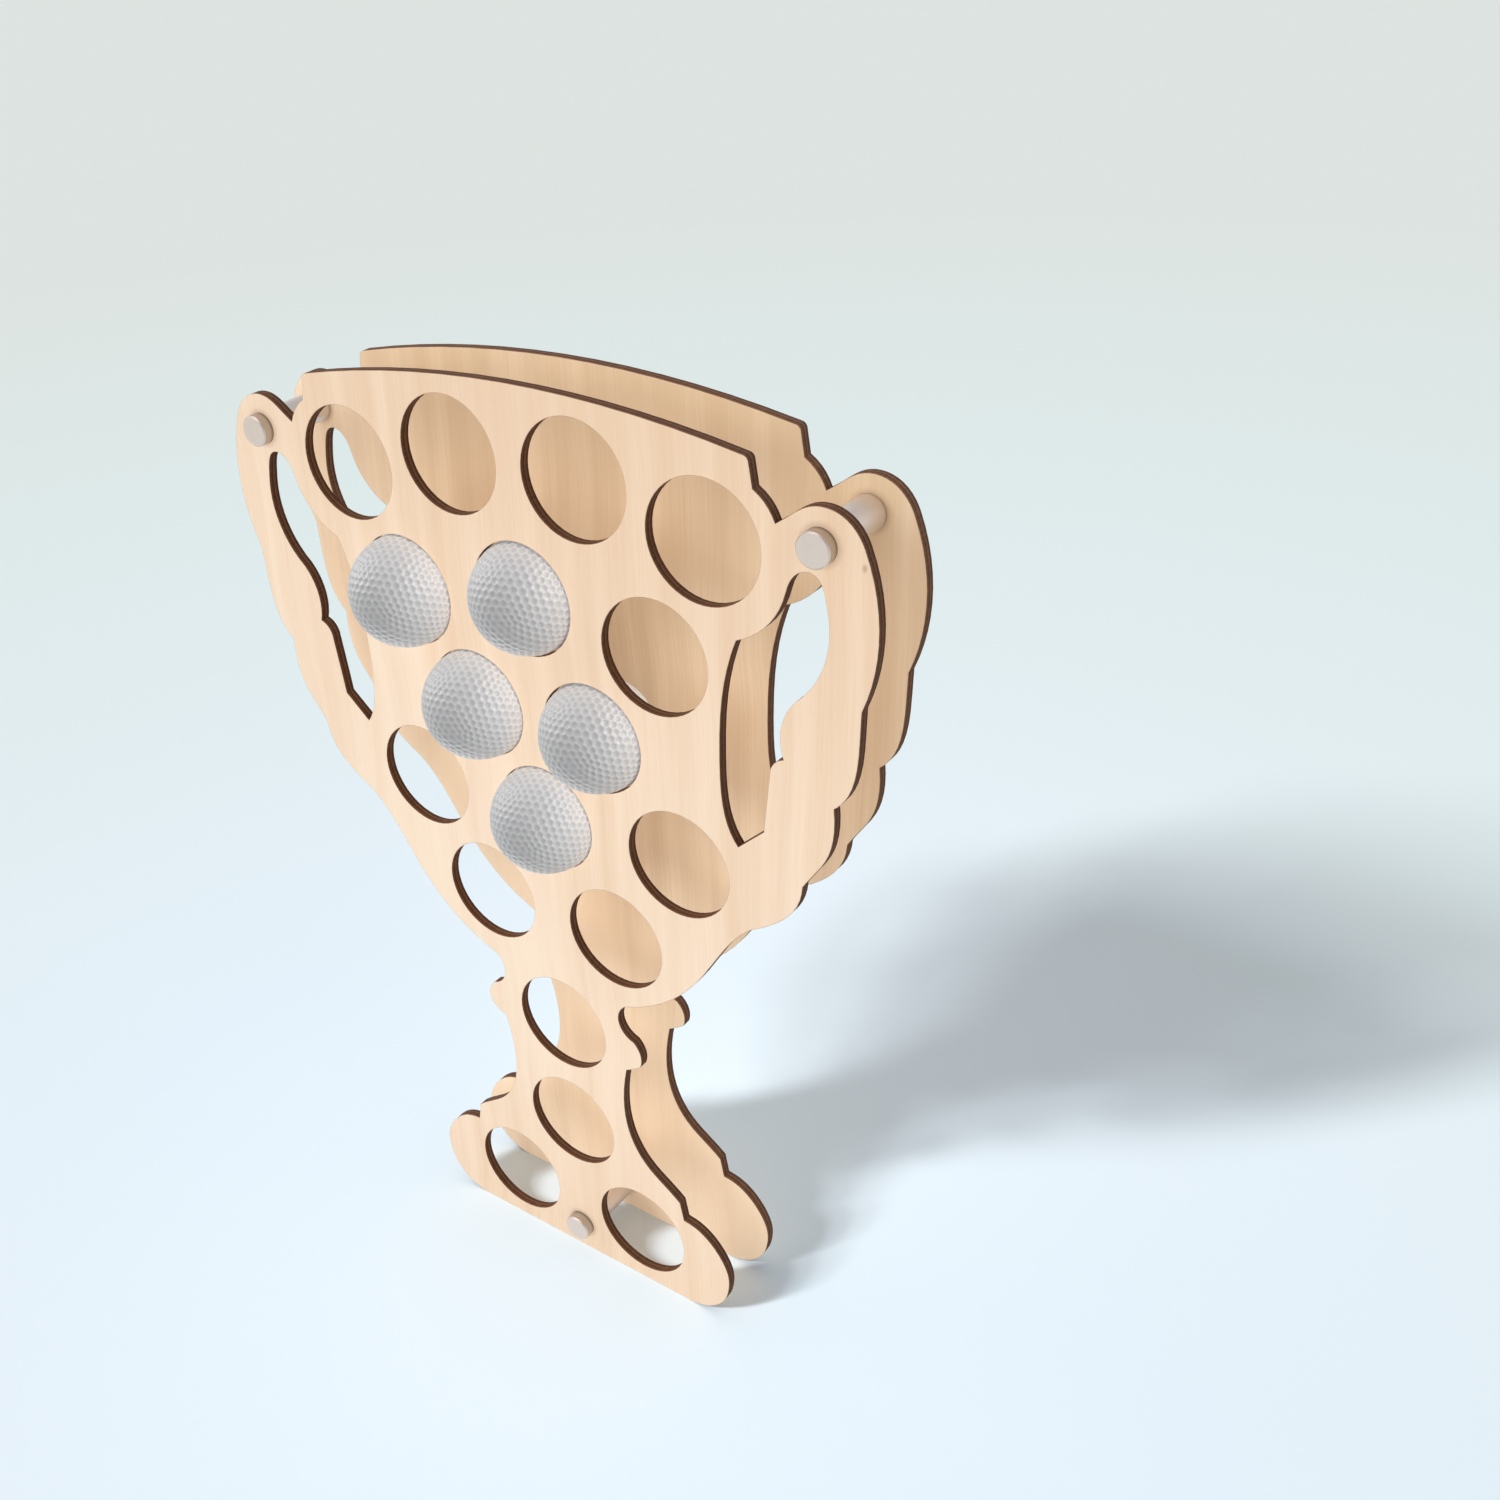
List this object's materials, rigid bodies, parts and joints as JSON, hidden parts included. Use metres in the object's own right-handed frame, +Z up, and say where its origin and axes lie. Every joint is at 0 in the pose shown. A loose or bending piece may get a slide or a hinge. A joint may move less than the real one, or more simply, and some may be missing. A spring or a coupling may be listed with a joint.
{
  "type": "golf ball display stand",
  "caption": "Trophy-shaped upright display stand: a drilled wooden front panel held off a plain rear panel by metal standoffs, with golf balls pushed into its holes.",
  "frame": {"origin": "middle of the front panel's foot, halfway through its thickness, on the surface it rests on", "axes": "+Z up, +X to the right as seen from the front, +Y from the front panel to the rear panel"},
  "size_m": [0.2786, 0.0589, 0.3927],
  "materials": {
    "front_wood": "satin",
    "rear_wood": "satin",
    "standoff_metal": "satin",
    "screw_steel": "satin",
    "ball_cover": "gloss"
  },
  "bodies": {
    "stand": {"front_panel": "front_wood", "rear_panel": "rear_wood", "left_standoff_cap": "standoff_metal", "left_standoff_barrel": "standoff_metal", "left_rear_screw": "screw_steel", "right_standoff_cap": "standoff_metal", "right_standoff_barrel": "standoff_metal", "right_rear_screw": "screw_steel", "foot_standoff_cap": "standoff_metal", "foot_standoff_barrel": "standoff_metal", "foot_rear_screw": "screw_steel"},
    "upper_left_ball": {"golf_ball_upper_left": "ball_cover"},
    "upper_middle_ball": {"golf_ball_upper_middle": "ball_cover"},
    "middle_left_ball": {"golf_ball_middle_left": "ball_cover"},
    "middle_right_ball": {"golf_ball_middle_right": "ball_cover"},
    "lower_middle_ball": {"golf_ball_lower_middle": "ball_cover"}
  },
  "joints": [
    {"name": "upper_left_ball_pull", "type": "slide", "parent": "stand", "child": "upper_left_ball", "axis": [0, -1, 0], "range_m": [0, 0.06]},
    {"name": "upper_middle_ball_pull", "type": "slide", "parent": "stand", "child": "upper_middle_ball", "axis": [0, -1, 0], "range_m": [0, 0.06]},
    {"name": "middle_left_ball_pull", "type": "slide", "parent": "stand", "child": "middle_left_ball", "axis": [0, -1, 0], "range_m": [0, 0.06]},
    {"name": "middle_right_ball_pull", "type": "slide", "parent": "stand", "child": "middle_right_ball", "axis": [0, -1, 0], "range_m": [0, 0.06]},
    {"name": "lower_middle_ball_pull", "type": "slide", "parent": "stand", "child": "lower_middle_ball", "axis": [0, -1, 0], "range_m": [0, 0.06]}
  ]
}
